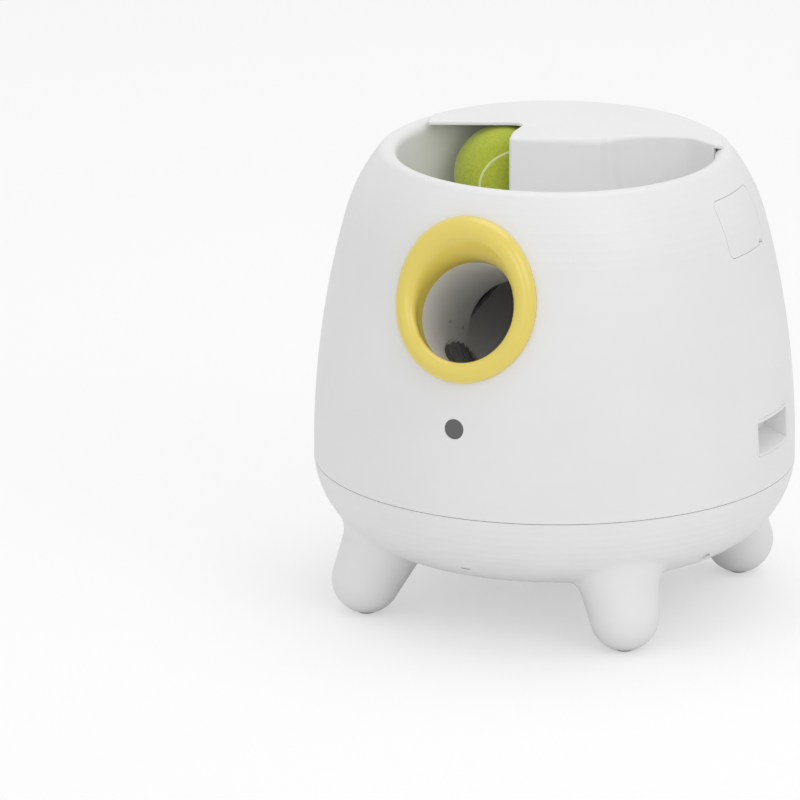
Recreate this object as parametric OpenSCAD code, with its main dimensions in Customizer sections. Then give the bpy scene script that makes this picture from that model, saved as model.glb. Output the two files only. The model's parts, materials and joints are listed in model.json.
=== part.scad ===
// Automatic dog ball launcher on four legs, standing on the floor, nozzle towards -Y.
// The origin is on the floor, on the casing's own axis. Sizes are in millimetres.

/* [Casing] */
// Widest radius of the casing
body_r = 149.5; // [147:0.5:153]
// Wall of the mouldings
wall = 3; // [2.4:0.1:3.2]
// Height of the seam between the base and the upper shell
seam_z = 90; // [88:0.5:92]
// Height at which the casing is widest
widest_z = 98; // [96:0.5:101]
// Radius of the long side curve, seen from the side
side_arc_r = 560; // [540:5:600]
// Height at which the side curve turns into the shoulder
shoulder_z = 245; // [243:0.5:246]
// Radius of the shoulder curve
shoulder_arc_r = 110; // [106:1:116]
// Height at which the shoulder turns into the rolled rim
lip_start_z = 285; // [284.5:0.1:285.5]
// Radius of the rolled rim
lip_r = 6.5; // [6:0.1:7]
// Radius of the base bowl's curve, seen from the side
base_arc_r = 57; // [56:0.5:58]
// Height of the flat underside above the floor
base_floor_z = 38; // [37:0.5:39]
// Open line between the base and the upper shell
seam_gap = 0.4; // [0.2:0.1:0.6]

/* [Legs] */
// How far each foot stands in from the casing's widest radius
leg_inset = 25.5; // [23.5:0.5:28.5]
// Radius of the leg's round end
leg_end_r = 21.5; // [20:0.5:23]
// Lean of a leg, from the foot up and inwards
leg_splay = 26; // [22:1:28]
// Half angle by which a leg widens upwards
leg_taper = 8.3; // [6:0.1:10]
// Radius of a rubber foot pad
pad_r = 5; // [4:0.1:5.4]
// Thickness of a rubber foot pad
pad_t = 2.4; // [2:0.1:3]

/* [Nozzle and barrel] */
// Height of the middle of the nozzle ring on the wall
nozzle_z = 226.5; // [225:0.5:227]
// Outer radius of the nozzle ring
nozzle_r = 46; // [45.5:0.5:47]
// Upward angle of the ring's own axis
nozzle_tilt = 40; // [39:0.5:42]
// How far the ring stands out of the wall
nozzle_proud = 7; // [5:0.5:8]
// Upward angle of the barrel
barrel_tilt = 25; // [24:0.5:26]
// Height at which the barrel's axis meets the wall
mouth_z = 217; // [216:0.5:218]
// Wall of the barrel
barrel_wall = 3; // [2.4:0.1:3]

/* [Ball and launch wheel] */
// Radius of the ball
ball_r = 31.8; // [31:0.1:32]
// Gap between the ball and the barrel
ball_gap = 1.2; // [1:0.1:1.6]
// How far the wheel squeezes into the ball
squeeze = 1.5; // [1:0.1:2.5]
// Radius of the launch wheel in the middle of its groove
groove_r = 24; // [23:0.5:24.5]
// Half the width of the launch wheel
wheel_half_w = 30; // [28.5:0.5:30.5]
// Distance along the barrel from the wall to the wheel
wheel_depth = 73; // [72:0.5:75]
// Number of ribs across the tyre
tyre_ribs = 36; // [24:1:40]
// Height of a tyre rib
rib_h = 1.2; // [0.8:0.1:1.6]
// Radius of the launch wheel's shaft
shaft_r = 4; // [3.5:0.1:4.5]

/* [Drive] */
// Teeth of the gear on the launch wheel
gear_teeth = 40; // [38:1:42]
// Teeth of the motor's pinion
pinion_teeth = 14; // [13:1:15]
// Tooth module of the gears
gear_module = 1.25; // [1.2:0.05:1.3]
// Width of the gears
gear_w = 8; // [6:0.5:8]
// Radius of the motor's can
motor_r = 18; // [16:0.5:19]
// Length of the motor's can
motor_len = 48; // [42:1:49]
// Direction of the motor from the wheel, seen from the right
motor_angle = -15; // [-18:1:-10]

/* [Hopper] */
// Turn of the hopper about the casing's axis
hopper_turn = 24.5; // [22:0.5:27]
// Floor height on the axis
floor_z = 229.8; // [229.4:0.1:230]
// Slope of the hopper floor
floor_slope = 8; // [7.9:0.1:8.6]
// Thickness of the hopper's mouldings
hopper_wall = 2.5; // [2:0.1:2.8]
// Thickness of the deck
deck_t = 2; // [1.6:0.1:2.4]
// Reach of the deck's round edge
deck_r = 103; // [102:0.5:104]
// Radius of the drop hole in the floor
drop_r = 35; // [34:0.5:36]

/* [Side hatch and grips] */
// Width of the hatch
hatch_w = 50; // [46:0.5:52]
// Height of the hatch
hatch_h = 35; // [33:0.5:36]
// Height of the hatch's middle above the floor
hatch_z = 254.5; // [253.5:0.5:255]
// Height of the finger recess's middle
grip_z = 124; // [122:0.5:128]
// Width of the finger recess
grip_w = 47; // [42:0.5:50]
// Height of the finger recess
grip_h = 24; // [22:0.5:26]
// Depth of the finger recess
grip_depth = 16; // [12:0.5:17]

/* [Sensor] */
// Height of the sensor window
sensor_z = 146; // [142:1:150]
// Radius of the sensor window
sensor_r = 6.2; // [5:0.1:7]

/* [Hidden] */
$fn = 96;

// Running gap of a shaft, and gap between pieces that only sit next to each other
fit = 0.03;
gap = 0.3;
big = 400;

// The casing's curves: three tangent arcs from the seam to the rim, one arc for the base
side_cx = body_r - side_arc_r;
shoulder_a0 = asin((shoulder_z - widest_z) / side_arc_r);
shoulder_cx = side_cx + (side_arc_r - shoulder_arc_r) * cos(shoulder_a0);
shoulder_cz = widest_z + (side_arc_r - shoulder_arc_r) * sin(shoulder_a0);
lip_a0 = asin((lip_start_z - shoulder_cz) / shoulder_arc_r);
lip_cx = shoulder_cx + (shoulder_arc_r - lip_r) * cos(lip_a0);
lip_cz = shoulder_cz + (shoulder_arc_r - lip_r) * sin(lip_a0);
lip_top = lip_cz + lip_r;
skirt_z = lip_cz - 13;
base_cz = base_floor_z + base_arc_r;
base_cx = side_cx + sqrt(pow(side_arc_r, 2) - pow(seam_z - widest_z, 2))
    - sqrt(pow(base_arc_r, 2) - pow(base_cz - seam_z, 2));
floor_in_z = base_floor_z + wall;

function arc(cx, cy, r, a0, a1, n) =
    [for (i = [0:n]) let (a = a0 + (a1 - a0) * i / n) [cx + r * cos(a), cy + r * sin(a)]];
function reversed(v) = [for (i = [len(v) - 1:-1:0]) v[i]];

seam_a = asin((seam_z + seam_gap - widest_z) / side_arc_r);
function side_pts(g) = arc(side_cx, widest_z, side_arc_r + g, seam_a, shoulder_a0, 12);
function shoulder_pts(g) =
    arc(shoulder_cx, shoulder_cz, shoulder_arc_r + g, shoulder_a0, lip_a0, 8);
function lip_pts(g) = arc(lip_cx, lip_cz, lip_r + g, lip_a0, 180, 10);
function casing_pts(g) = concat(side_pts(g), shoulder_pts(g), lip_pts(g));
base_seam_a = asin((seam_z - base_cz) / base_arc_r);
function base_pts(g) = arc(base_cx, base_cz, base_arc_r + g, -90, base_seam_a, 16);

// Outer radius of the upper shell at a height on its side curve or shoulder
function casing_r(z) = z < shoulder_z
    ? side_cx + sqrt(pow(side_arc_r, 2) - pow(z - widest_z, 2))
    : shoulder_cx + sqrt(pow(shoulder_arc_r, 2) - pow(z - shoulder_cz, 2));

// Barrel, wheel and gear places
bore_r = ball_r + ball_gap;
barrel_r = bore_r + barrel_wall;
mouth_y = -(casing_r(mouth_z) - 2.7);
inward = [0, cos(barrel_tilt), -sin(barrel_tilt)];
upward = [0, sin(barrel_tilt), cos(barrel_tilt)];
mouth = [0, mouth_y, mouth_z];
function on_barrel(t, h) = mouth + t * inward + h * upward;
wheel_c = on_barrel(wheel_depth, -(ball_r - squeeze + groove_r));
cup_r = ball_r + 0.4;
flange_r = groove_r + cup_r - sqrt(pow(cup_r, 2) - pow(wheel_half_w, 2));
socket_t = 14;
touch_t = wheel_depth
    + sqrt(pow(groove_r + ball_r, 2) - pow(ball_r - squeeze + groove_r, 2));
breech = on_barrel(touch_t, 0);
plate_x = wheel_half_w + 8;
plate_t = 3;
bearing_r = 11;
bearing_w = 7;
bearing_x = plate_x + 0.2;
gear_x = bearing_x + bearing_w + 0.8;
motor_plate_x = gear_x + gear_w + 3;
motor_x = motor_plate_x + plate_t + 0.2;
wheel_pitch_r = gear_teeth * gear_module / 2;
pinion_pitch_r = pinion_teeth * gear_module / 2;
centre_d = wheel_pitch_r + pinion_pitch_r + 0.1;
motor_y = wheel_c[1] + centre_d * cos(motor_angle);
motor_z = wheel_c[2] + centre_d * sin(motor_angle);
motor_shaft_r = 1.6;

// Hopper and feed places. The hopper's own frame is turned by hopper_turn.
function turned(u, d) = [u * cos(hopper_turn) - d * sin(hopper_turn),
    u * sin(hopper_turn) + d * cos(hopper_turn)];
bowl_r = lip_cx - lip_r;
deck_z = lip_top;
drop_u = 8;
drop_d = 58;
drop = turned(drop_u, drop_d);
ball_d = 57.8;
ball_u = -sqrt(pow(bowl_r - ball_r - gap, 2) - pow(ball_d, 2));
ball_z = floor_z - ball_d * tan(floor_slope) + ball_r / cos(floor_slope) + 0.1;
chute_dx = drop[0] - breech[0];
chute_dy = drop[1] - breech[1];
chute_run = sqrt(pow(chute_dx, 2) + pow(chute_dy, 2));
chute_slope = 4;
chute_turn = atan2(-chute_dx, chute_dy);
chute_end_z = breech[2] + chute_run * tan(chute_slope);
chute_bore_r = bore_r + 0.8;
chute_r = chute_bore_r + 2.7;
seat_slope = (barrel_tilt - chute_slope) / 2;

// Gate places
gate = [46, 15];
gate_z = chute_end_z - 4;
gate_reach = 41;

// Base, chassis and screw places
chassis_t = 3;
chassis_z = seam_z - 3;
post_circle_r = body_r - 49.5;
leg_circle_r = body_r - leg_inset;
case_boss_r = body_r - 21.5;
case_boss_angles = [20, 160, 200, 340];
leg_angles = [225, 315, 135, 45];
post_angles = [0, 90, 180, 270];
leg_boss_end = 34;

// Battery bay
bay_x = 53;
bay_y0 = -43;
bay_y1 = 40;
cell_r = 13;
cell_len = 50;
cell_pitch = 26.4;
hinge_y = bay_y0 + 2.6;
hinge_z = base_floor_z + 2.1;
knuckle_r = 2;
door_t = 2.6;

// Control tray
tray_x = body_r - 39.5;
tray_t = 2;
knob_at = [-12, hatch_z];
button_at = [6, hatch_z + 3];
jack_at = [18, hatch_z - 4];
knob_r = 8;
button_r = 5.5;
jack_r = 3.2;

// Board
board_size = [100, 43, 1.6];
board_y = post_circle_r - 45;
board_z = chassis_z + 8;
board_hole_x = board_size[0] / 2 - 5;
board_holes = [for (y = [board_y + 5, board_y + board_size[1] - 5], s = [-1, 1]) [s * board_hole_x, y]];
speaker_y = board_y + 15;

// ---- Shared shapes ----

// The whole casing as one solid, grown outwards by g
module casing_solid(g) {
    pts = concat([[0, seam_z]], side_pts(g), shoulder_pts(g), [[0, lip_start_z]]);
    rotate_extrude() polygon(pts);
}

module base_solid(g) {
    rotate_extrude() polygon(concat([[0, base_floor_z - g]], base_pts(g), [[0, seam_z]]));
}

// Places children with +z along the barrel, inwards, and +y down
module along_barrel(t) {
    translate(on_barrel(t, 0)) rotate([-90 - barrel_tilt, 0, 0]) children();
}

module along_nozzle(t) {
    translate([0, -casing_r(nozzle_z), nozzle_z]) rotate([-90 - nozzle_tilt, 0, 0])
        translate([0, 0, t]) children();
}

// Places children with their x, y and z along Y, Z and X
module along_x(x, y, z) {
    translate([x, y, z]) rotate([90, 0, 90]) children();
}

module along_chute(t) {
    translate(breech) rotate([0, 0, chute_turn]) rotate([chute_slope - 90, 0, 0])
        translate([0, 0, t]) children();
}

module leg_place(a) {
    rotate([0, 0, a]) translate([leg_circle_r, 0, leg_end_r]) rotate([0, -leg_splay, 0])
        children();
}

module tube(r_out, r_in, h) {
    difference() {
        cylinder(r = r_out, h = h);
        translate([0, 0, -1]) cylinder(r = r_in, h = h + 2);
    }
}

module round_rect(w, h, r) {
    square([w - 2 * r, h], center = true);
    square([w, h - 2 * r], center = true);
    for (x = [-1, 1], y = [-1, 1])
        translate([x * (w / 2 - r), y * (h / 2 - r)]) circle(r);
}

// Everything below the hopper floor's top face, lowered by drop_by
module below_floor(drop_by) {
    translate([0, 0, floor_z]) rotate([-floor_slope, 0, 0])
        translate([-big / 2, -big / 2, -60 - drop_by]) cube([big, big, 60]);
}

// Everything above the hopper floor's top face, lowered by drop_by
module above_floor(drop_by) {
    translate([0, 0, floor_z]) rotate([-floor_slope, 0, 0])
        translate([-big / 2, -big / 2, -drop_by]) cube([big, big, 80]);
}

// A pan-head screw pointing down from z = 0, its head above
module screw(r, len, head_r, head_h) {
    translate([0, 0, -len]) cylinder(r = r, h = len + 0.5);
    cylinder(r = head_r, h = head_h);
}

// ---- Gears ----

function inv(a) = tan(a) * 180 / PI - a;
function flank_a(rp, rb, r, backlash) =
    90 * gear_module / rp / 2 - backlash / rp * 90 / PI + inv(20) - inv(acos(rb / r));
function tooth_pts(z, backlash) = let (
    rp = z * gear_module / 2,
    rb = rp * cos(20),
    ra = rp + gear_module * 0.95,
    rf = rp - gear_module * 1.25,
    r0 = max(rb + 0.01, rf),
    rs = [for (i = [0:4]) r0 + (ra - r0) * i / 4],
    left = [for (r = rs) [r, -flank_a(rp, rb, r, backlash)]],
    right = [for (i = [4:-1:0]) [rs[i], flank_a(rp, rb, rs[i], backlash)]]
) concat([[rf, left[0][1]]], left, right, [[rf, right[4][1]]]);
function gear_pts(z, backlash) = let (tooth = tooth_pts(z, backlash))
    [for (k = [0:z - 1], p = tooth) let (a = p[1] + 360 * k / z) [p[0] * cos(a), p[0] * sin(a)]];

module gear(z, hole_r, turn) {
    linear_extrude(gear_w) difference() {
        rotate(turn) polygon(gear_pts(z, 0.12));
        circle(hole_r);
    }
}

// ---- Casing ----

module upper_shell() {
    pilot_r = 1.95;
    color("white") difference() {
        union() {
            rotate_extrude() polygon(concat(
                casing_pts(0),
                [[bowl_r, skirt_z], [bowl_r + wall, skirt_z]],
                reversed(casing_pts(-wall))));
            intersection() {
                for (a = case_boss_angles) rotate([0, 0, a]) {
                    translate([case_boss_r, 0, seam_z]) cylinder(r = 6, h = 22);
                    translate([case_boss_r, -1.5, seam_z + 7]) cube([body_r - case_boss_r, 3, 15]);
                }
                casing_solid(-1);
            }
        }
        along_nozzle(-30) cylinder(r = nozzle_r - 4.8, h = 75);
        for (a = case_boss_angles) rotate([0, 0, a])
            translate([case_boss_r, 0, seam_z - 1]) cylinder(r = pilot_r, h = 19);
        translate([0, -body_r - 1, sensor_z]) rotate([-90, 0, 0])
            cylinder(r = sensor_r + 0.1, h = 20);
        along_x(tray_x, 0, hatch_z) linear_extrude(40) round_rect(hatch_w, hatch_h, 5);
        for (s = [-1, 1]) along_x(s > 0 ? tray_x : -tray_x - hatch_w, 0, grip_z)
            linear_extrude(hatch_w) round_rect(grip_w, grip_h, 5);
    }
}

module base_shell() {
    tongue_out = casing_r(seam_z) - wall - gap - 0.1;
    tongue_in = tongue_out - 2.4;
    screw_seat = seam_z - 28;
    color("white") difference() {
        union() {
            difference() {
                base_solid(0);
                rotate_extrude() polygon(concat(
                    [[0, floor_in_z]], base_pts(-wall), [[0, seam_z + 1]]));
            }
            translate([0, 0, seam_z - 10]) tube(tongue_out, tongue_in, 16);
            intersection() {
                union() {
                    for (a = case_boss_angles) rotate([0, 0, a])
                        translate([case_boss_r, 0, base_floor_z])
                            cylinder(r = 6.5, h = seam_z - base_floor_z);
                    for (a = leg_angles) leg_place(a) cylinder(r = 6.5, h = leg_boss_end);
                }
                base_solid(-1);
            }
            for (a = post_angles) rotate([0, 0, a]) translate([post_circle_r, 0, 0])
                translate([0, 0, floor_in_z - 1])
                    cylinder(r = 5, h = chassis_z - chassis_t - floor_in_z + 1);
            for (s = [-1, 1]) translate([s * (bay_x + 3) - 3, hinge_y - 3, floor_in_z - 1])
                cube([6, 6, 3]);
        }
        translate([0, 0, seam_z]) difference() {
            cylinder(r = body_r + 5, h = 10);
            translate([0, 0, -1]) cylinder(r = tongue_out + 0.01, h = 12);
        }
        for (a = case_boss_angles) rotate([0, 0, a]) translate([case_boss_r, 0, 0]) {
            cylinder(r = 2.2, h = seam_z + 10);
            cylinder(r = 4.5, h = screw_seat);
        }
        for (a = leg_angles) leg_place(a) cylinder(r = 2.2, h = leg_boss_end + 1);
        for (a = post_angles) rotate([0, 0, a])
            translate([post_circle_r, 0, chassis_z - 14]) cylinder(r = 1.95, h = 20);
        translate([-bay_x, bay_y0, base_floor_z - 1])
            cube([2 * bay_x, bay_y1 - bay_y0, wall + 4]);
        translate([-bay_x - 5, hinge_y, hinge_z]) rotate([0, 90, 0])
            cylinder(r = 1 + fit, h = 2 * bay_x + 10);
        for (i = [-2:2]) translate([i * 6 - 1.25, 58, base_floor_z - 1]) cube([2.5, 24, 6]);
        translate([0, -base_cx - base_arc_r * cos(49), base_cz - base_arc_r * sin(49)])
            rotate([49, 0, 0]) translate([-3, -6, -1.2]) cube([6, 12, 2.4]);
    }
}

module leg(a) {
    tangent = [leg_end_r * cos(leg_taper), -leg_end_r * sin(leg_taper)];
    top = 60;
    cut_z = 0.8;
    color("white") difference() {
        leg_place(a) rotate_extrude() polygon(concat(
            arc(0, 0, leg_end_r, -90, -leg_taper, 10),
            [[tangent[0] + (top - tangent[1]) * tan(leg_taper), top], [0, top]]));
        base_solid(0);
        translate([-big / 2, -big / 2, cut_z - 20]) cube([big, big, 20]);
        leg_place(a) translate([0, 0, 3]) cylinder(r = 2 + fit, h = 60);
        rotate([0, 0, a]) translate([leg_circle_r, 0, -1]) cylinder(r = pad_r + 0.1, h = pad_t + 1);
    }
}

module leg_front_left() { leg(leg_angles[0]); }
module leg_front_right() { leg(leg_angles[1]); }
module leg_rear_left() { leg(leg_angles[2]); }
module leg_rear_right() { leg(leg_angles[3]); }

module leg_screws() {
    color("silver") for (a = leg_angles) leg_place(a)
        translate([0, 0, leg_boss_end]) screw(2, 30, 4, 2.6);
}

module foot_pads() {
    color("gray") for (a = leg_angles) rotate([0, 0, a])
        translate([leg_circle_r, 0, 0]) cylinder(r = pad_r, h = pad_t);
}

module case_screws() {
    color("silver") for (a = case_boss_angles) rotate([0, 0, a])
        translate([case_boss_r, 0, seam_z - 28]) mirror([0, 0, 1]) screw(1.9, 44, 4.2, 3);
}

// ---- Hopper ----

module hopper_bowl() {
    color("whitesmoke") rotate([0, 0, hopper_turn]) difference() {
        union() {
            rotate_extrude() polygon([[bowl_r, floor_z - 30], [bowl_r + hopper_wall, floor_z - 30],
                [bowl_r + hopper_wall, skirt_z - 6], [bowl_r + wall + 2.6, skirt_z - 3],
                [bowl_r + wall + 2.6, skirt_z + 5], [bowl_r + wall + gap, skirt_z + 5],
                [bowl_r + wall + gap, skirt_z], [bowl_r, skirt_z]]);
            intersection() {
                translate([0, 0, 150]) cylinder(r = bowl_r + 1, h = 120);
                below_floor(0);
            }
        }
        below_floor(hopper_wall);
        translate([drop_u, drop_d, 150]) cylinder(r = drop_r, h = 90);
    }
}

// Front outline of the hump and pocket, in the hopper's own frame, left to right
hump_left = -29;
hump_front = 13;
front_line = [[hump_left, hump_front], [33, hump_front], [45, 17], [60, 19], [81, 18]];

module hopper_cover() {
    wall_t = 2;
    edge_r = bowl_r - gap;
    tip = [[96, 0], [96, 3]];
    back_line = [for (p = reversed(front_line)) [p[0], p[1] + wall_t]];
    color("whitesmoke") rotate([0, 0, hopper_turn]) union() {
        translate([0, 0, deck_z]) linear_extrude(deck_t) intersection() {
            circle(deck_r);
            polygon(concat([[-79.5, 51.5], [-18, 51], [-27, 29]], front_line,
                [[97, -1], [120, -6], [120, 120], [-76, 120], [-76, 71]]));
        }
        difference() {
            intersection() {
                translate([0, 0, floor_z - 20]) linear_extrude(deck_z - floor_z + 20.5) union() {
                    polygon(concat(front_line, tip, back_line));
                    translate([44, 18]) square([wall_t, 66]);
                }
                translate([0, 0, floor_z - 30]) cylinder(r = edge_r, h = deck_z);
            }
            below_floor(0);
        }
    }
}

module ball() {
    at = turned(ball_u, ball_d);
    color("yellowgreen") translate([at[0], at[1], ball_z]) sphere(ball_r);
}

// ---- Nozzle and barrel ----

module nozzle_ring() {
    spigot_r = nozzle_r - 5;
    back_y = -casing_r(nozzle_z) + 14;
    color("gold") difference() {
        intersection() {
            along_nozzle(-45) cylinder(r = nozzle_r, h = 90);
            casing_solid(nozzle_proud);
        }
        difference() {
            casing_solid(0);
            along_nozzle(-50) cylinder(r = spigot_r, h = 100);
        }
        translate([-100, back_y, 100]) cube([200, 200, 250]);
        along_barrel(-60) cylinder(r = bore_r, h = 120);
        along_barrel(socket_t) cylinder(r = barrel_r + 0.15, h = 60);
        along_nozzle(-40) cylinder(r1 = spigot_r + 12, r2 = 30, h = 64);
    }
}

// The plane that the barrel's rear end and the chute's front end share
module breech_plane() {
    translate(breech) rotate([-seat_slope - 180, 0, 0]) children();
}

module barrel_tube() {
    ear_t = plate_x - 0.1;
    color("darkgray") difference() {
        union() {
            along_barrel(socket_t + 0.2) cylinder(r = barrel_r, h = 110);
            along_barrel(wheel_depth) translate([-ear_t, -7, -24]) cube([2 * ear_t, 14, 34]);
        }
        along_barrel(0) cylinder(r = bore_r, h = 160);
        along_x(-wheel_half_w - 1.5, wheel_c[1], wheel_c[2])
            cylinder(r = flange_r + 2, h = 2 * wheel_half_w + 3);
        breech_plane() translate([-80, 0.15, -80]) mirror([0, 1, 0]) cube([160, 80, 160]);
        rotate([0, 0, hopper_turn]) above_floor(hopper_wall + gap);
        for (s = [-1, 1], t = [-16, 4]) along_barrel(wheel_depth + t)
            rotate([0, s * 90, 0]) translate([0, 0, plate_x - 6]) cylinder(r = 1.25, h = 10);
    }
}

module feed_chute() {
    tail = chute_bore_r;
    length = chute_run / cos(chute_slope);
    color("dimgray") difference() {
        union() {
            along_chute(0) cylinder(r = chute_r, h = length + tail + 2);
            translate([drop[0], drop[1], chute_end_z - 25]) cylinder(r = drop_r + 2.5, h = 90);
            for (p = [[drop[0], 42], [0, -22]])
                translate([p[0], p[1], chassis_z]) cylinder(r = 5, h = 80);
            translate([0, 4, gate_z - 29]) cube([gate[0] + 8, 30, 3.2]);
        }
        along_chute(-20) cylinder(r = chute_bore_r, h = length + tail + 20);
        translate([drop[0], drop[1], chute_end_z]) cylinder(r = drop_r, h = 90);
        along_chute(-20) translate([-60, -80, 0]) cube([120, 76, length + 20 - drop_r - 2.4]);
        rotate([0, 0, hopper_turn]) above_floor(hopper_wall + gap);
        breech_plane() translate([-80, -0.15, -80]) cube([160, 80, 160]);
        along_x(-wheel_half_w - 1.5, wheel_c[1], wheel_c[2])
            cylinder(r = flange_r + 2, h = 2 * wheel_half_w + 3);
        translate([0, gate[1] - 50, gate_z - 4]) cube([60, 57, 8]);
    }
}

module gate_servo() {
    color("dimgray") {
        translate([gate[0] - 6, gate[1] - 6, gate_z - 25.6]) cube([12, 23, 22]);
        translate([gate[0], gate[1], gate_z - 4]) cylinder(r = 2.4, h = 5);
    }
}

module gate_arm() {
    color("orange") difference() {
        translate([gate[0], gate[1], gate_z - 2.6]) union() {
            cylinder(r = 5, h = 6);
            translate([-gate_reach + 3, -2.5, 0.6]) cube([gate_reach - 3, 5, 5]);
            translate([-gate_reach + 3, 0, 0.6]) cylinder(r = 3.5, h = 5);
        }
        translate([gate[0], gate[1], gate_z - 10]) cylinder(r = 2.4 + fit, h = 11.2);
    }
}

// ---- Launch wheel ----

module wheel_hub() {
    color("dimgray") along_x(-wheel_half_w, wheel_c[1], wheel_c[2])
        tube(groove_r - 6, shaft_r + fit, 2 * wheel_half_w);
}

// Profile of the tyre's groove, which cups the ball, lowered by g
function groove_pts(g) = [for (i = [-8:8]) let (x = i * wheel_half_w / 8)
    [groove_r - g + cup_r - sqrt(pow(cup_r, 2) - pow(x, 2)), x]];

module wheel_tyre() {
    rib_a = 180 / tyre_ribs;
    inner = groove_r - 6 + 0.02;
    color("#333333") along_x(0, wheel_c[1], wheel_c[2]) union() {
        rotate_extrude() polygon(concat([[inner, -wheel_half_w]], groove_pts(rib_h),
            [[inner, wheel_half_w]]));
        for (i = [0:tyre_ribs - 1]) rotate([0, 0, i * 360 / tyre_ribs])
            rotate_extrude(angle = rib_a) polygon(concat([[inner + 2, -wheel_half_w]],
                groove_pts(0), [[inner + 2, wheel_half_w]]));
    }
}

module wheel_shaft() {
    color("silver") along_x(-plate_x - 9, wheel_c[1], wheel_c[2])
        cylinder(r = shaft_r, h = plate_x + 9 + gear_x + gear_w + 1);
}

module wheel_spacers() {
    len = plate_x - wheel_half_w - 0.1;
    color("silver") for (x = [-plate_x, wheel_half_w + 0.1])
        along_x(x, wheel_c[1], wheel_c[2]) tube(6, shaft_r + fit, len);
}

module bearing(x) {
    color("silver") along_x(x, wheel_c[1], wheel_c[2])
        tube(bearing_r, shaft_r + 0.05, bearing_w);
}

module bearing_left() { bearing(-bearing_x - bearing_w); }
module bearing_right() { bearing(bearing_x); }

module wheel_gear() {
    color("ivory") along_x(gear_x, wheel_c[1], wheel_c[2])
        gear(gear_teeth, shaft_r + fit, motor_angle);
}

// ---- Frame round the wheel ----

rod_places = [[wheel_c[1] - 28, wheel_c[2] - 39], [wheel_c[1] + 35, wheel_c[2] - 43]];
standoff_places = [[wheel_c[1] + 25, wheel_c[2] + 24], [wheel_c[1] + 31, wheel_c[2] - 37],
    [wheel_c[1] - 27, wheel_c[2] - 19]];

module side_plate(s) {
    y = wheel_c[1];
    z = wheel_c[2];
    x0 = s > 0 ? plate_x : -plate_x - plate_t;
    ring_x = s > 0 ? plate_x : -plate_x - 7.5;
    foot_x = s > 0 ? plate_x : -plate_x - 12;
    color("lightgray") difference() {
        union() {
            along_x(x0, 0, 0) linear_extrude(plate_t) polygon([
                [y - 32, chassis_z], [y + 40, chassis_z], [y + 40, z + 44], [y + 33, z + 56],
                [y + 2, z + 70], [y - 14, z + 54], [y - 32, z + 14]]);
            along_x(ring_x, y, z) cylinder(r = bearing_r + 3.5, h = 7.5);
            translate([foot_x, y - 30, chassis_z]) cube([12, 60, 3]);
        }
        along_x(ring_x - 1, y, z) cylinder(r = bearing_r + fit, h = 10);
        for (p = rod_places) along_x(s * plate_x - 5, p[0], p[1]) cylinder(r = 1.6, h = 10);
        for (p = standoff_places) along_x(s * plate_x - 5, p[0], p[1]) cylinder(r = 1.6, h = 10);
        for (t = [-16, 4]) along_barrel(wheel_depth + t) rotate([0, s * 90, 0])
            translate([0, 0, plate_x - 6]) cylinder(r = 1.6, h = 12);
        for (d = [-20, 20]) translate([s * (plate_x + 8), y + d, chassis_z - 1])
            cylinder(r = 1.7, h = 6);
    }
}

module side_plate_left() { side_plate(-1); }
module side_plate_right() { side_plate(1); }

module tie_rods() {
    color("silver") for (p = rod_places) along_x(-plate_x, p[0], p[1])
        cylinder(r = 3.5, h = 2 * plate_x);
}

module frame_screws() {
    color("silver") for (s = [-1, 1], t = [-16, 4]) along_barrel(wheel_depth + t)
        rotate([0, s * 90, 0]) translate([0, 0, plate_x + plate_t]) screw(1.2, 8, 2.8, 2);
}

module motor_plate() {
    y = wheel_c[1];
    z = wheel_c[2];
    color("lightgray") difference() {
        along_x(motor_plate_x, 0, 0) linear_extrude(plate_t) polygon([
            [y - 32, z - 25], [y + 26, z - 43], [y + 53, z - 32], [y + 53, z + 16],
            [y + 30, z + 30], [y + 20, z + 30], [y - 32, z - 12]]);
        along_x(motor_plate_x - 1, motor_y, motor_z) cylinder(r = 6.6, h = 6);
        for (d = [-12.5, 12.5]) along_x(motor_plate_x - 1, motor_y, motor_z + d)
            cylinder(r = 1.6, h = 6);
        for (p = standoff_places) along_x(motor_plate_x - 1, p[0], p[1]) cylinder(r = 1.6, h = 6);
    }
}

module motor_standoffs() {
    x0 = plate_x + plate_t;
    color("silver") for (p = standoff_places) along_x(x0, p[0], p[1])
        cylinder(r = 3, h = motor_plate_x - x0);
}

module motor_can() {
    color("silver") difference() {
        along_x(motor_x, motor_y, motor_z) cylinder(r = motor_r, h = motor_len);
        along_x(motor_x - 1, motor_y, motor_z) cylinder(r = motor_shaft_r + 0.05, h = 13);
        for (d = [-12.5, 12.5]) along_x(motor_x - 1, motor_y, motor_z + d)
            cylinder(r = 1.3, h = 5);
    }
    color("silver") along_x(motor_x - 2.9, motor_y, motor_z) tube(6.5, motor_shaft_r + 0.05, 3);
}

module motor_end_cap() {
    color("black") along_x(motor_x + motor_len, motor_y, motor_z) {
        cylinder(r = motor_r - 0.6, h = 3);
        for (s = [-1, 1]) translate([s * 9 - 1.5, -0.4, 2]) cube([3, 0.8, 5]);
    }
}

module motor_screws() {
    color("silver") for (d = [-12.5, 12.5]) along_x(motor_plate_x, motor_y, motor_z + d)
        mirror([0, 0, 1]) screw(1.25, 6, 2.4, 1.6);
}

module motor_shaft() {
    color("silver") along_x(gear_x, motor_y, motor_z)
        cylinder(r = motor_shaft_r, h = motor_x - gear_x + 11);
}

module motor_pinion() {
    color("goldenrod") along_x(gear_x, motor_y, motor_z)
        gear(pinion_teeth, motor_shaft_r + 0.01, motor_angle + 180 + 180 / pinion_teeth);
}

// ---- Base contents ----

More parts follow.
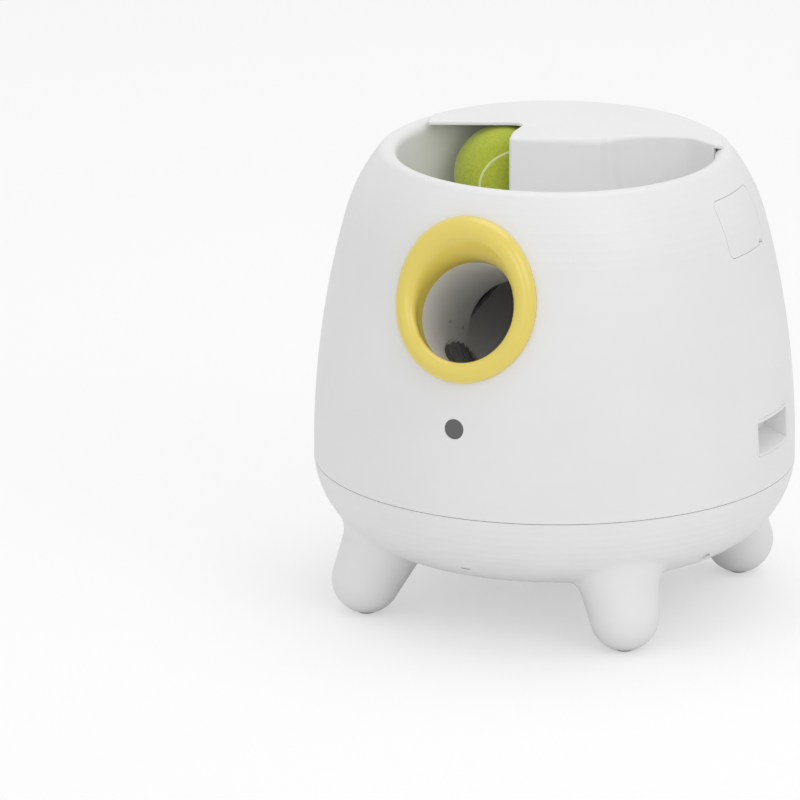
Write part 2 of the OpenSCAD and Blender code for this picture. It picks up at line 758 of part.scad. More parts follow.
module chassis_plate() {
    color("lightgray") difference() {
        union() {
            translate([0, 0, chassis_z - chassis_t]) cylinder(r = post_circle_r + 12, h = chassis_t);
            for (p = board_holes) translate([p[0], p[1], chassis_z - 1])
                cylinder(r = 3.2, h = board_z - chassis_z + 1);
        }
        for (p = board_holes) translate([p[0], p[1], chassis_z]) cylinder(r = 1.25, h = 20);
        for (a = post_angles) rotate([0, 0, a]) translate([post_circle_r, 0, 0])
            cylinder(r = 2.1, h = seam_z + 10);
        for (s = [-1, 1], d = [-20, 20])
            translate([s * (plate_x + 8), wheel_c[1] + d, 0]) cylinder(r = 1.25, h = 200);
        translate([0, 25, chassis_z - chassis_t - 1]) cylinder(r = 8, h = chassis_t + 2);
    }
}

module chassis_screws() {
    color("silver") {
        for (a = post_angles) rotate([0, 0, a]) translate([post_circle_r, 0, chassis_z])
            screw(1.9, 14, 4, 2.4);
        for (s = [-1, 1], d = [-20, 20])
            translate([s * (plate_x + 8), wheel_c[1] + d, chassis_z + 3]) screw(1.2, 6, 2.8, 2);
    }
}

module battery_box() {
    w = 2 * bay_x + 6;
    d = bay_y1 - bay_y0 + 4.4;
    color("dimgray") difference() {
        translate([-w / 2, bay_y0 - 2.2, floor_in_z]) cube([w, d, 33]);
        translate([-bay_x, bay_y0 - 0.2, floor_in_z - 1]) cube([2 * bay_x, d - 4, 32]);
        for (s = [-1, 1]) translate([s * (bay_x + 3) - 3.5, hinge_y - 3.5, floor_in_z - 1])
            cube([7, 7, 3.5]);
    }
}

module battery_cells() {
    mid_y = (bay_y0 + bay_y1) / 2;
    color("seagreen") for (s = [-1, 1], row = [-1:1])
        translate([s > 0 ? 0.6 : -cell_len - 0.6, mid_y + row * cell_pitch, floor_in_z + 15.5])
            rotate([0, 90, 0]) cylinder(r = cell_r, h = cell_len);
}

module battery_contacts() {
    mid_y = (bay_y0 + bay_y1) / 2;
    x0 = cell_len + 0.7;
    color("silver") for (s = [-1, 1])
        translate([s > 0 ? x0 : -bay_x + 0.1, mid_y - 36, floor_in_z + 5])
            cube([bay_x - 0.1 - x0, 72, 20]);
}

module battery_door() {
    color("white") difference() {
        union() {
            translate([-bay_x + 0.5, hinge_y, base_floor_z])
                cube([2 * bay_x - 1, bay_y1 - hinge_y - 0.5, door_t]);
            translate([-bay_x + 0.5, hinge_y, hinge_z]) rotate([0, 90, 0])
                cylinder(r = knuckle_r, h = 2 * bay_x - 1);
        }
        translate([-bay_x, hinge_y, hinge_z]) rotate([0, 90, 0])
            cylinder(r = 1 + fit, h = 2 * bay_x);
    }
}

module door_pin() {
    color("silver") translate([-bay_x - 4.5, hinge_y, hinge_z]) rotate([0, 90, 0])
        cylinder(r = 1, h = 2 * bay_x + 9);
}

module main_board() {
    color("darkgreen") difference() {
        translate([-board_size[0] / 2, board_y, board_z]) cube(board_size);
        for (p = board_holes) translate([p[0], p[1], board_z - 1]) cylinder(r = 1.6, h = 4);
    }
}

module board_parts() {
    top = board_z + board_size[2];
    color("black") {
        translate([-12, board_y + 13, top]) cube([14, 14, 1.6]);
        translate([14, board_y + 11, top]) cube([10, 6, 2]);
        translate([-38, board_y + 17, top]) cube([7, 16, 9]);
        translate([34, board_y + 17, top]) cube([7, 16, 9]);
        for (x = [-24, 26]) translate([x, board_y + 29, top]) cylinder(r = 4, h = 10);
    }
}

module board_screws() {
    color("silver") for (p = board_holes)
        translate([p[0], p[1], board_z + board_size[2]]) screw(1.2, 6, 2.6, 1.8);
}

module speaker() {
    color("dimgray") difference() {
        translate([0, speaker_y, floor_in_z]) union() {
            cylinder(r = 20, h = 5);
            translate([0, 0, 4]) cylinder(r1 = 17, r2 = 11, h = 8);
            translate([0, 0, 11]) cylinder(r = 10, h = 6);
        }
        translate([0, speaker_y, floor_in_z - 1]) cylinder(r1 = 17, r2 = 14, h = 4);
    }
}

// ---- Side hatch and controls ----

module control_tray() {
    depth = 30;
    color("dimgray") difference() {
        intersection() {
            along_x(tray_x - tray_t, 0, hatch_z) linear_extrude(depth)
                round_rect(hatch_w + 5, hatch_h + 5, 6);
            casing_solid(-wall - 0.15);
        }
        along_x(tray_x, 0, hatch_z) linear_extrude(depth)
            round_rect(hatch_w + 0.6, hatch_h + 0.6, 5);
        along_x(90, knob_at[0], knob_at[1]) cylinder(r = 3.1, h = 40);
        along_x(90, jack_at[0], jack_at[1]) translate([-4.6, -5.6, 0]) cube([9.2, 11.2, 40]);
    }
    color("dimgray") along_x(tray_x - 0.5, button_at[0], button_at[1])
        tube(button_r + 2, button_r + 0.2, 4);
}

module power_button() {
    color("orange") along_x(tray_x + 2.6, button_at[0], button_at[1])
        cylinder(r = button_r, h = 5);
}

module distance_knob() {
    color("dimgray") along_x(0, knob_at[0], knob_at[1]) {
        translate([0, 0, tray_x + 0.3]) difference() {
            cylinder(r = knob_r, h = 7.5);
            translate([-0.8, 2, 6.7]) cube([1.6, knob_r, 2]);
        }
        translate([0, 0, tray_x - 6]) cylinder(r = 3, h = 8);
    }
}

module selector_body() {
    color("dimgray") difference() {
        along_x(tray_x - 8.4, knob_at[0], knob_at[1]) translate([-6.5, -6.5, 0])
            cube([13, 13, 8.4 - tray_t]);
        along_x(tray_x - 6.5, knob_at[0], knob_at[1]) cylinder(r = 3.05, h = 20);
    }
}

module power_jack() {
    color("black") difference() {
        along_x(tray_x - 8, jack_at[0], jack_at[1]) translate([-4.5, -5.5, 0])
            cube([9, 11, 11.5]);
        along_x(tray_x - 5.5, jack_at[0], jack_at[1]) cylinder(r = jack_r, h = 20);
    }
}

module hatch_door() {
    notch = 4;
    color("white") difference() {
        intersection() {
            along_x(tray_x + 1, 0, hatch_z) linear_extrude(40)
                round_rect(hatch_w - 0.6, hatch_h - 0.6, 4.7);
            difference() {
                casing_solid(0);
                casing_solid(-2.2);
            }
        }
        translate([casing_r(hatch_z - hatch_h / 2), hatch_w / 2 - 7, hatch_z - hatch_h / 2])
            sphere(notch, $fn = 48);
    }
}

module grip(s) {
    outer_w = grip_w - 0.4;
    outer_h = grip_h - 0.4;
    back_x = casing_r(grip_z) - grip_depth;
    lip = 2;
    color("white") mirror([s > 0 ? 0 : 1, 0, 0]) difference() {
        union() {
            intersection() {
                along_x(back_x - lip, 0, grip_z) linear_extrude(40)
                    round_rect(outer_w, outer_h, 4.8);
                casing_solid(0);
            }
            intersection() {
                along_x(back_x - lip, 0, grip_z) linear_extrude(40)
                    round_rect(outer_w + 6, outer_h + 6, 7);
                difference() {
                    casing_solid(-wall - 0.15);
                    casing_solid(-wall - 2.4);
                }
            }
        }
        translate([0, outer_w / 2 - lip, 0]) rotate([90, 0, 0])
            linear_extrude(outer_w - 2 * lip) polygon([
                [back_x, grip_z + outer_h / 2 - lip],
                [back_x, grip_z - outer_h / 2 + 8],
                [body_r + 5, grip_z - outer_h / 2 - 1],
                [body_r + 5, grip_z + outer_h / 2 - lip]]);
    }
}

module grip_right() { grip(1); }
module grip_left() { grip(-1); }

// ---- Sensor ----

lens_back = casing_r(sensor_z + sensor_r + 2) - wall - 0.1;

module sensor_lens() {
    front = casing_r(sensor_z) - 0.4;
    color("#555555") union() {
        translate([0, -front, sensor_z]) rotate([-90, 0, 0])
            cylinder(r = sensor_r, h = front - lens_back + 1);
        translate([0, -lens_back, sensor_z]) rotate([-90, 0, 0])
            cylinder(r = sensor_r + 2, h = 1.6);
    }
}

module sensor_board() {
    y0 = -lens_back + 1.7;
    color("darkgreen") {
        translate([0, y0, sensor_z]) rotate([-90, 0, 0]) cylinder(r = 4, h = 2.5);
        translate([-9, y0 + 2.2, sensor_z - 9]) cube([18, 1.6, 18]);
    }
}

upper_shell();
base_shell();
leg_front_left();
leg_front_right();
leg_rear_left();
leg_rear_right();
leg_screws();
foot_pads();
case_screws();
hopper_bowl();
hopper_cover();
nozzle_ring();
barrel_tube();
feed_chute();
gate_servo();
gate_arm();
wheel_hub();
wheel_tyre();
wheel_shaft();
wheel_spacers();
bearing_left();
bearing_right();
wheel_gear();
side_plate_left();
side_plate_right();
tie_rods();
frame_screws();
motor_plate();
motor_standoffs();
motor_can();
motor_end_cap();
motor_screws();
motor_shaft();
motor_pinion();
chassis_plate();
chassis_screws();
battery_box();
battery_cells();
battery_contacts();
battery_door();
door_pin();
main_board();
board_parts();
board_screws();
speaker();
control_tray();
power_button();
distance_knob();
selector_body();
power_jack();
hatch_door();
grip_right();
grip_left();
sensor_lens();
sensor_board();
ball();
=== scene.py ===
import json
import math

import bpy
import bmesh
from mathutils import Euler, Matrix, Vector


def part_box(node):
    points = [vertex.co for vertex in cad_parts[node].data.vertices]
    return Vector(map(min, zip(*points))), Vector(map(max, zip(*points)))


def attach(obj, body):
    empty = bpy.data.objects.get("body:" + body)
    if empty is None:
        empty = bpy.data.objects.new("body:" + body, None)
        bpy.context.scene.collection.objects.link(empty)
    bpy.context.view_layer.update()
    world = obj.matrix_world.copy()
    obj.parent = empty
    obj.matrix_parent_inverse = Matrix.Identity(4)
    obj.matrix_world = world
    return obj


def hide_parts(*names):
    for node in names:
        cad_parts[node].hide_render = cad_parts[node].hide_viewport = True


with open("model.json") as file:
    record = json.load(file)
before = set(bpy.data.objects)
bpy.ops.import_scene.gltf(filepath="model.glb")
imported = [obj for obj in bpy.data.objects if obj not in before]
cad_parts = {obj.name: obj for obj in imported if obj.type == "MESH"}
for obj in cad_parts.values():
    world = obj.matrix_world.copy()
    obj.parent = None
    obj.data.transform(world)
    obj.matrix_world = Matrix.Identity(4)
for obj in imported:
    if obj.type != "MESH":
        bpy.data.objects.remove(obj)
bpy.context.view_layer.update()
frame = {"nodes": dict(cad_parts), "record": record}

MM = 0.001

# ---- Sizes repeated from the part's source, in millimetres ----

BODY_R = 149.5
SIDE_R = 560.0
WIDEST_Z = 98.0
SHOULDER_Z = 245.0
SHOULDER_R = 110.0
LIP_START_Z = 285.0
LIP_R = 6.5
BASE_ARC_CX = 92.5
BASE_ARC_CZ = 95.0
BASE_ARC_R = 57.0
BASE_FLOOR_Z = 38.0
LEG_CIRCLE_R = 124.0
LEG_END_R = 21.5
LEG_SPLAY = math.radians(26.0)
LEG_TAPER = math.radians(8.3)
NOZZLE_Z = 226.5
NOZZLE_R = 46.0
NOZZLE_TILT = math.radians(40.0)
BARREL_TILT = math.radians(25.0)
MOUTH_Z = 217.0
BORE_R = 33.0
SOCKET_T = 14.0
HOPPER_TURN = math.radians(24.5)
FLOOR_Z = 229.8
FLOOR_SLOPE = math.radians(8.0)
DECK_T = 2.0
DECK_R = 103.0

SIDE_CX = BODY_R - SIDE_R
SHOULDER_A0 = math.asin((SHOULDER_Z - WIDEST_Z) / SIDE_R)
SHOULDER_CX = SIDE_CX + (SIDE_R - SHOULDER_R) * math.cos(SHOULDER_A0)
SHOULDER_CZ = WIDEST_Z + (SIDE_R - SHOULDER_R) * math.sin(SHOULDER_A0)
LIP_A0 = math.asin((LIP_START_Z - SHOULDER_CZ) / SHOULDER_R)
LIP_CX = SHOULDER_CX + (SHOULDER_R - LIP_R) * math.cos(LIP_A0)
LIP_CZ = SHOULDER_CZ + (SHOULDER_R - LIP_R) * math.sin(LIP_A0)
DECK_Z = LIP_CZ + LIP_R


def casing_r(z):
    if z < SHOULDER_Z:
        return SIDE_CX + math.sqrt(SIDE_R ** 2 - (z - WIDEST_Z) ** 2)
    return SHOULDER_CX + math.sqrt(max(SHOULDER_R ** 2 - (z - SHOULDER_CZ) ** 2, 0))


def casing_normal(p):
    rho = math.hypot(p.x, p.y)
    if p.z < SHOULDER_Z:
        a = Vector((rho - SIDE_CX, p.z - WIDEST_Z)).normalized()
    else:
        a = Vector((rho - SHOULDER_CX, p.z - SHOULDER_CZ)).normalized()
    return Vector((p.x / rho * a.x, p.y / rho * a.x, a.y))


# ---- Materials ----


def tree(name):
    m = bpy.data.materials.new(name)
    m.use_nodes = True
    nodes = m.node_tree.nodes
    return m, nodes, m.node_tree.links, nodes["Principled BSDF"]


def noise(nodes, links, scale, detail=3.0, stretch=None):
    coord = nodes.new("ShaderNodeTexCoord")
    n = nodes.new("ShaderNodeTexNoise")
    n.inputs["Scale"].default_value = scale
    n.inputs["Detail"].default_value = detail
    source = coord.outputs["Object"]
    if stretch:
        mapping = nodes.new("ShaderNodeMapping")
        mapping.inputs["Scale"].default_value = stretch
        links.new(source, mapping.inputs["Vector"])
        source = mapping.outputs["Vector"]
    links.new(source, n.inputs["Vector"])
    return n.outputs["Fac"]


def ramp(nodes, links, fac, low, high, a, b):
    r = nodes.new("ShaderNodeValToRGB")
    r.color_ramp.elements[0].position = low
    r.color_ramp.elements[1].position = high
    r.color_ramp.elements[0].color = (*a, 1)
    r.color_ramp.elements[1].color = (*b, 1)
    links.new(fac, r.inputs["Fac"])
    return r.outputs["Color"]


def spread(nodes, links, fac, low, high):
    r = nodes.new("ShaderNodeMapRange")
    r.inputs["From Min"].default_value = 0.3
    r.inputs["From Max"].default_value = 0.7
    r.inputs["To Min"].default_value = low
    r.inputs["To Max"].default_value = high
    links.new(fac, r.inputs["Value"])
    return r.outputs["Result"]


def bump(nodes, links, fac, shader, strength, distance):
    b = nodes.new("ShaderNodeBump")
    b.inputs["Strength"].default_value = strength
    b.inputs["Distance"].default_value = distance
    links.new(fac, b.inputs["Height"])
    links.new(b.outputs["Normal"], shader.inputs["Normal"])


def shade(rgb, k):
    return tuple(min(1.0, c * k) for c in rgb)


def moulded(name, rgb, rough, grain=1800.0, depth=0.00004, vary=0.012, coat=0.0, spec=0.5):
    """Moulded plastic: faint drift of colour, fine spark-eroded grain, uneven polish."""
    m, nodes, links, shader = tree(name)
    drift = noise(nodes, links, 14.0)
    links.new(ramp(nodes, links, drift, 0.35, 0.65, shade(rgb, 1 - vary), shade(rgb, 1 + vary)),
              shader.inputs["Base Color"])
    links.new(spread(nodes, links, noise(nodes, links, 90.0), rough - 0.03, rough + 0.03),
              shader.inputs["Roughness"])
    shader.inputs["Specular IOR Level"].default_value = spec
    shader.inputs["Coat Weight"].default_value = coat
    shader.inputs["Coat Roughness"].default_value = 0.12
    bump(nodes, links, noise(nodes, links, grain, 2.0), shader, 0.35, depth)
    return m


def brushed(name, rgb, rough, stretch, streak=900.0):
    """Plated or brushed metal with fine streaks along one axis."""
    m, nodes, links, shader = tree(name)
    lines = noise(nodes, links, streak, 2.0, stretch)
    links.new(ramp(nodes, links, lines, 0.3, 0.7, shade(rgb, 0.88), shade(rgb, 1.06)),
              shader.inputs["Base Color"])
    links.new(spread(nodes, links, lines, rough - 0.07, rough + 0.08),
              shader.inputs["Roughness"])
    shader.inputs["Metallic"].default_value = 1.0
    bump(nodes, links, lines, shader, 0.2, 0.00002)
    return m


def felt(name, rgb):
    """Tennis-ball felt: matted fibres in two sizes, paler at their tips."""
    m, nodes, links, shader = tree(name)
    clumps = noise(nodes, links, 700.0, 5.0)
    links.new(ramp(nodes, links, clumps, 0.33, 0.67, shade(rgb, 0.9), shade(rgb, 1.1)),
              shader.inputs["Base Color"])
    shader.inputs["Roughness"].default_value = 0.95
    shader.inputs["Sheen Weight"].default_value = 0.25
    shader.inputs["Specular IOR Level"].default_value = 0.15
    bump(nodes, links, noise(nodes, links, 1500.0, 6.0), shader, 0.6, 0.0003)
    return m


def board(name, rgb, track):
    """Solder mask with the paler lines of copper tracks under it."""
    m, nodes, links, shader = tree(name)
    coord = nodes.new("ShaderNodeTexCoord")
    brick = nodes.new("ShaderNodeTexBrick")
    brick.inputs["Scale"].default_value = 90.0
    brick.inputs["Mortar Size"].default_value = 0.035
    brick.inputs["Color1"].default_value = (*rgb, 1)
    brick.inputs["Color2"].default_value = (*shade(rgb, 0.85), 1)
    brick.inputs["Mortar"].default_value = (*track, 1)
    links.new(coord.outputs["Object"], brick.inputs["Vector"])
    links.new(brick.outputs["Color"], shader.inputs["Base Color"])
    shader.inputs["Roughness"].default_value = 0.3
    bump(nodes, links, brick.outputs["Fac"], shader, 0.3, 0.00005)
    return m


WHITE = (0.80, 0.80, 0.802)
M = {
    "casing": moulded("casing_white", WHITE, 0.42),
    "leg": moulded("leg_white", WHITE, 0.42),
    "hopper": moulded("hopper_white", (0.81, 0.81, 0.815), 0.45),
    "nozzle": moulded("nozzle_yellow", (0.79, 0.635, 0.12), 0.24, 900.0, 0.00002, 0.01, 0.4),
    "barrel": moulded("barrel_grey", (0.84, 0.84, 0.845), 0.45),
    "tyre": moulded("tyre_rubber", (0.16, 0.161, 0.166), 0.72, 1400.0, 0.00012, 0.15),
    "felt": felt("ball_felt", (0.44, 0.51, 0.055)),
    "seam": moulded("ball_seam", (0.70, 0.76, 0.36), 0.7, 1600.0, 0.00008),
    "pad_rubber": moulded("pad_rubber", (0.30, 0.30, 0.31), 0.8, 1200.0, 0.0001, 0.08),
    "inner_plastic": moulded("dark_plastic", (0.055, 0.056, 0.06), 0.45, 1500.0, 0.00006, 0.1),
    "frame_plastic": moulded("frame_grey", (0.42, 0.43, 0.44), 0.5, 1500.0, 0.00006, 0.05),
    "gate": moulded("gate_orange", (0.80, 0.26, 0.04), 0.4),
    "gear": moulded("gear_ivory", (0.78, 0.75, 0.64), 0.5, 1500.0, 0.00004, 0.04),
    "brass": brushed("turned_brass", (0.78, 0.58, 0.26), 0.3, (1.0, 14.0, 14.0)),
    "steel": brushed("plated_steel", (0.62, 0.62, 0.63), 0.32, (1.0, 1.0, 12.0)),
    "cell": moulded("cell_sleeve", (0.05, 0.30, 0.14), 0.3, 900.0, 0.00002, 0.06, 0.4),
    "board": board("solder_mask", (0.02, 0.17, 0.06), (0.06, 0.30, 0.12)),
    "button": moulded("button_orange", (0.82, 0.24, 0.03), 0.3, 1200.0, 0.00003, 0.02, 0.3),
    "lens": moulded("lens_dark", (0.13, 0.13, 0.132), 0.4, 1600.0, 0.00001, 0.05, 0.0, 0.3),
}

slot_of = {s["node"]: s["material_slot"] for s in frame["record"]["subparts"]}
for node_name, obj in frame["nodes"].items():
    for slot in obj.material_slots:
        slot.material = M[slot_of[node_name]]


# ---- Mesh helpers ----


def piece(name, verts, faces, slot, body, replaced=(), material=None, sharp=32.0):
    """A mesh from points in millimetres, shaded smooth but for edges above the sharp angle."""
    mesh = bpy.data.meshes.new(name)
    mesh.from_pydata([tuple(c * MM for c in v) for v in verts], [], faces)
    mesh.validate()
    bm = bmesh.new()
    bm.from_mesh(mesh)
    bmesh.ops.remove_doubles(bm, verts=bm.verts, dist=1e-7)
    bmesh.ops.recalc_face_normals(bm, faces=bm.faces)
    bm.to_mesh(mesh)
    bm.free()
    mesh.shade_smooth()
    mesh.set_sharp_from_angle(angle=math.radians(sharp))
    obj = bpy.data.objects.new(name, mesh)
    bpy.context.scene.collection.objects.link(obj)
    mesh.materials.append(M[material or slot])
    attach(obj, body)
    if replaced:
        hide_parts(*replaced)
    return obj


def loft(rows, wrap_rows=False, wrap=True, caps=()):
    """Points and faces of a skin through rows of equal length; caps closes the named rows."""
    n = len(rows[0])
    verts = [p for row in rows for p in row]
    faces = []
    last = len(rows) if wrap_rows else len(rows) - 1
    for i in range(last):
        for j in range(n if wrap else n - 1):
            a, b = i * n + j, i * n + (j + 1) % n
            c, d = ((i + 1) % len(rows)) * n + (j + 1) % n, ((i + 1) % len(rows)) * n + j
            faces.append((a, b, c, d))
    for i in caps:
        i = i % len(rows)
        faces.append(tuple(i * n + j for j in range(n)))
    return verts, faces


def bezier(p0, p1, p2, p3, t):
    s = 1 - t
    return p0 * s ** 3 + p1 * 3 * s * s * t + p2 * 3 * s * t * t + p3 * t ** 3


# ---- Nozzle ring ----

nozzle_at = Vector((0, -casing_r(NOZZLE_Z), NOZZLE_Z))
nozzle_out = Vector((0, -math.cos(NOZZLE_TILT), math.sin(NOZZLE_TILT)))
nozzle_up = Vector((0, math.sin(NOZZLE_TILT), math.cos(NOZZLE_TILT)))
mouth = Vector((0, -(casing_r(MOUTH_Z) - 2.7), MOUTH_Z))
barrel_in = Vector((0, math.cos(BARREL_TILT), -math.sin(BARREL_TILT)))
barrel_up = Vector((0, math.sin(BARREL_TILT), math.cos(BARREL_TILT)))
across = Vector((1, 0, 0))


def ring_point(r, phi, h):
    """The point h above the casing where the nozzle's cylinder of radius r meets it."""
    start = nozzle_at + r * (math.cos(phi) * across + math.sin(phi) * nozzle_up)
    low, high = -45.0, 45.0
    for _ in range(40):
        mid = (low + high) / 2
        p = start + mid * nozzle_out
        if math.hypot(p.x, p.y) > casing_r(p.z):
            high = mid
        else:
            low = mid
    p = start + low * nozzle_out
    return p + casing_normal(p) * h


def bore_point(r, phi, t):
    return mouth + t * barrel_in + r * (math.cos(phi) * across + math.sin(phi) * barrel_up)


def nozzle_ring():
    """The rolled edge, then a funnel down to the barrel, then back outside it to the wall."""
    turns, limb_steps, funnel_steps = 144, 12, 12
    limb_h, limb_t = 1.2, 5.8
    limb_w, limb_swell = 6.5, 0.8
    spigot_r = NOZZLE_R - 5.1
    socket_wall = 2.6
    funnel_end = 9.0

    def limb_point(a, b):
        """On the rolled edge, b round it from its outside; the edge is fatter at the top."""
        limb = limb_w + limb_swell * math.sin(a)
        r = NOZZLE_R - 0.1 - limb + limb * math.cos(b)
        return ring_point(r, a, limb_h + limb_t * math.sin(b))

    rows = []
    angles = [2 * math.pi * k / turns for k in range(turns)]
    rows.append([ring_point(NOZZLE_R - 0.6, a, 0.02) for a in angles])
    rows.append([ring_point(NOZZLE_R - 0.35, a, 0.5) for a in angles])
    limb_end = math.radians(150)
    for k in range(limb_steps + 1):
        b = limb_end * k / limb_steps
        rows.append([limb_point(a, b) for a in angles])
    inner = [limb_point(a, limb_end) for a in angles]
    near = [limb_point(a, limb_end - 0.05) for a in angles]
    for k in range(1, funnel_steps + 1):
        row = []
        for j, a in enumerate(angles):
            end = bore_point(BORE_R, a, funnel_end)
            pull = (end - inner[j]).length / 3
            away = (inner[j] - near[j]).normalized() * pull
            t = k / funnel_steps
            row.append(bezier(inner[j], inner[j] + away, end - barrel_in * pull, end, t))
        rows.append(row)
    rows.append([bore_point(BORE_R, a, SOCKET_T) for a in angles])
    rows.append([bore_point(BORE_R + socket_wall, a, SOCKET_T) for a in angles])
    rows.append([ring_point(spigot_r, a, -6.0) for a in angles])
    rows.append([ring_point(spigot_r, a, -0.2) for a in angles])
    v, f = loft(rows, wrap_rows=True)
    piece("nozzle_ring_skin", v, f, "nozzle", "housing", ["nozzle_ring"], sharp=40)


nozzle_ring()

# ---- Legs, blended into the base bowl ----


def bowl_height(p):
    """Distance outside the base bowl."""
    rho = math.hypot(p.x, p.y)
    if rho < BASE_ARC_CX:
        return BASE_FLOOR_Z - p.z
    return math.hypot(rho - BASE_ARC_CX, min(p.z - BASE_ARC_CZ, 0)) - BASE_ARC_R


def bowl_normal(p):
    rho = math.hypot(p.x, p.y)
    if rho < BASE_ARC_CX:
        return Vector((0, 0, -1))
    n = Vector((rho - BASE_ARC_CX, min(p.z - BASE_ARC_CZ, 0))).normalized()
    return Vector((p.x / rho * n.x, p.y / rho * n.x, n.y))


def leg(node, degrees):
    """A rounded foot and a tapered leg, blended into the bowl with a fillet."""
    a = math.radians(degrees)
    radial = Vector((math.cos(a), math.sin(a), 0))
    up = Vector((0, 0, 1))
    foot = radial * LEG_CIRCLE_R + up * LEG_END_R
    axis = up * math.cos(LEG_SPLAY) - radial * math.sin(LEG_SPLAY)
    e1 = radial * math.cos(LEG_SPLAY) + up * math.sin(LEG_SPLAY)
    e2 = axis.cross(e1)
    turn, foot_rows, cone_rows, blend_rows = 96, 14, 7, 9
    on_leg, on_bowl = 9.0, 7.0
    proud, sole_z = 0.08, 0.8
    tangent_r = LEG_END_R * math.cos(LEG_TAPER)
    tangent_z = -LEG_END_R * math.sin(LEG_TAPER)

    def wall(phi, s):
        out = e1 * math.cos(phi) + e2 * math.sin(phi)
        r = tangent_r + s * math.sin(LEG_TAPER)
        return foot + axis * (tangent_z + s * math.cos(LEG_TAPER)) + out * r

    rows = []
    for k in range(1, foot_rows + 1):
        b = -math.pi / 2 + (math.pi / 2 - LEG_TAPER) * k / (foot_rows + 1)
        row = []
        for j in range(turn):
            phi = 2 * math.pi * j / turn
            out = e1 * math.cos(phi) + e2 * math.sin(phi)
            p = foot + axis * (LEG_END_R * math.sin(b)) + out * (LEG_END_R * math.cos(b))
            row.append(p)
        rows.append(row)
    cone = [[] for _ in range(cone_rows)]
    blend = [[] for _ in range(blend_rows + 2)]
    for j in range(turn):
        phi = 2 * math.pi * j / turn
        low, high = 0.0, 75.0
        for _ in range(40):
            mid = (low + high) / 2
            if bowl_height(wall(phi, mid)) > 0:
                low = mid
            else:
                high = mid
        met = wall(phi, low)
        n = bowl_normal(met)
        away = e1 * math.cos(phi) + e2 * math.sin(phi)
        away = (away - n * away.dot(n)).normalized()
        reach = min(on_leg, low)
        end = met + away * on_bowl
        end = end - bowl_normal(end) * bowl_height(end)
        start = wall(phi, low - reach)
        for k in range(cone_rows):
            cone[k].append(wall(phi, (low - reach) * k / cone_rows))
        for k in range(blend_rows):
            t = k / (blend_rows - 1)
            p = start * (1 - t) ** 2 + met * 2 * t * (1 - t) + end * t * t
            blend[k].append(p + bowl_normal(p) * proud)
        n = bowl_normal(end)
        blend[blend_rows].append(end + away * 0.3 - n * 0.5)
        blend[blend_rows + 1].append(met - n * 1.5)
    rows += cone + blend
    for row in rows:
        for p in row:
            p.z = max(p.z, sole_z)
    v, f = loft(rows, caps=(0, -1))
    piece(node + "_skin", v, f, "leg", "housing", [node], sharp=50)


LEG_PLACES = {"leg_front_left": 225, "leg_front_right": 315, "leg_rear_left": 135,
              "leg_rear_right": 45}
for leg_node, leg_angle in LEG_PLACES.items():
    leg(leg_node, leg_angle)

# ---- Hopper cover ----


def turned(u, d, z):
    return Vector((u * math.cos(HOPPER_TURN) - d * math.sin(HOPPER_TURN),
                   u * math.sin(HOPPER_TURN) + d * math.cos(HOPPER_TURN), z))


def rounded_path(corners, steps=7):
    """2-D closed path with each corner (x, y, radius, edge, foot, lean) rounded to an arc.
    edge is the radius of the top edge there, foot is 1 where a wall goes down to the floor,
    and lean is how far along u the wall's foot stands."""
    out = []
    n = len(corners)
    for i in range(n):
        x, y, r, edge, drop, lean = corners[i]
        here = Vector((x, y))
        if r <= 0:
            out.append((here, edge, drop, lean))
            continue
        a = Vector(corners[i - 1][:2]) - here
        b = Vector(corners[(i + 1) % n][:2]) - here
        half = a.angle(b) / 2
        cut = min(r / math.tan(half), a.length * 0.49, b.length * 0.49)
        arc_r = cut * math.tan(half)
        centre = here + (a.normalized() + b.normalized()).normalized() * (arc_r / math.sin(half))
        p, q = here + a.normalized() * cut - centre, here + b.normalized() * cut - centre
        turn = p.angle(q)
        for k in range(steps + 1):
            t = k / steps
            arm = (p * math.sin((1 - t) * turn) + q * math.sin(t * turn)) / math.sin(turn)
            out.append((centre + arm, edge, drop, lean))
    return out


def floor_at(d):
    return FLOOR_Z - d * math.tan(FLOOR_SLOPE)


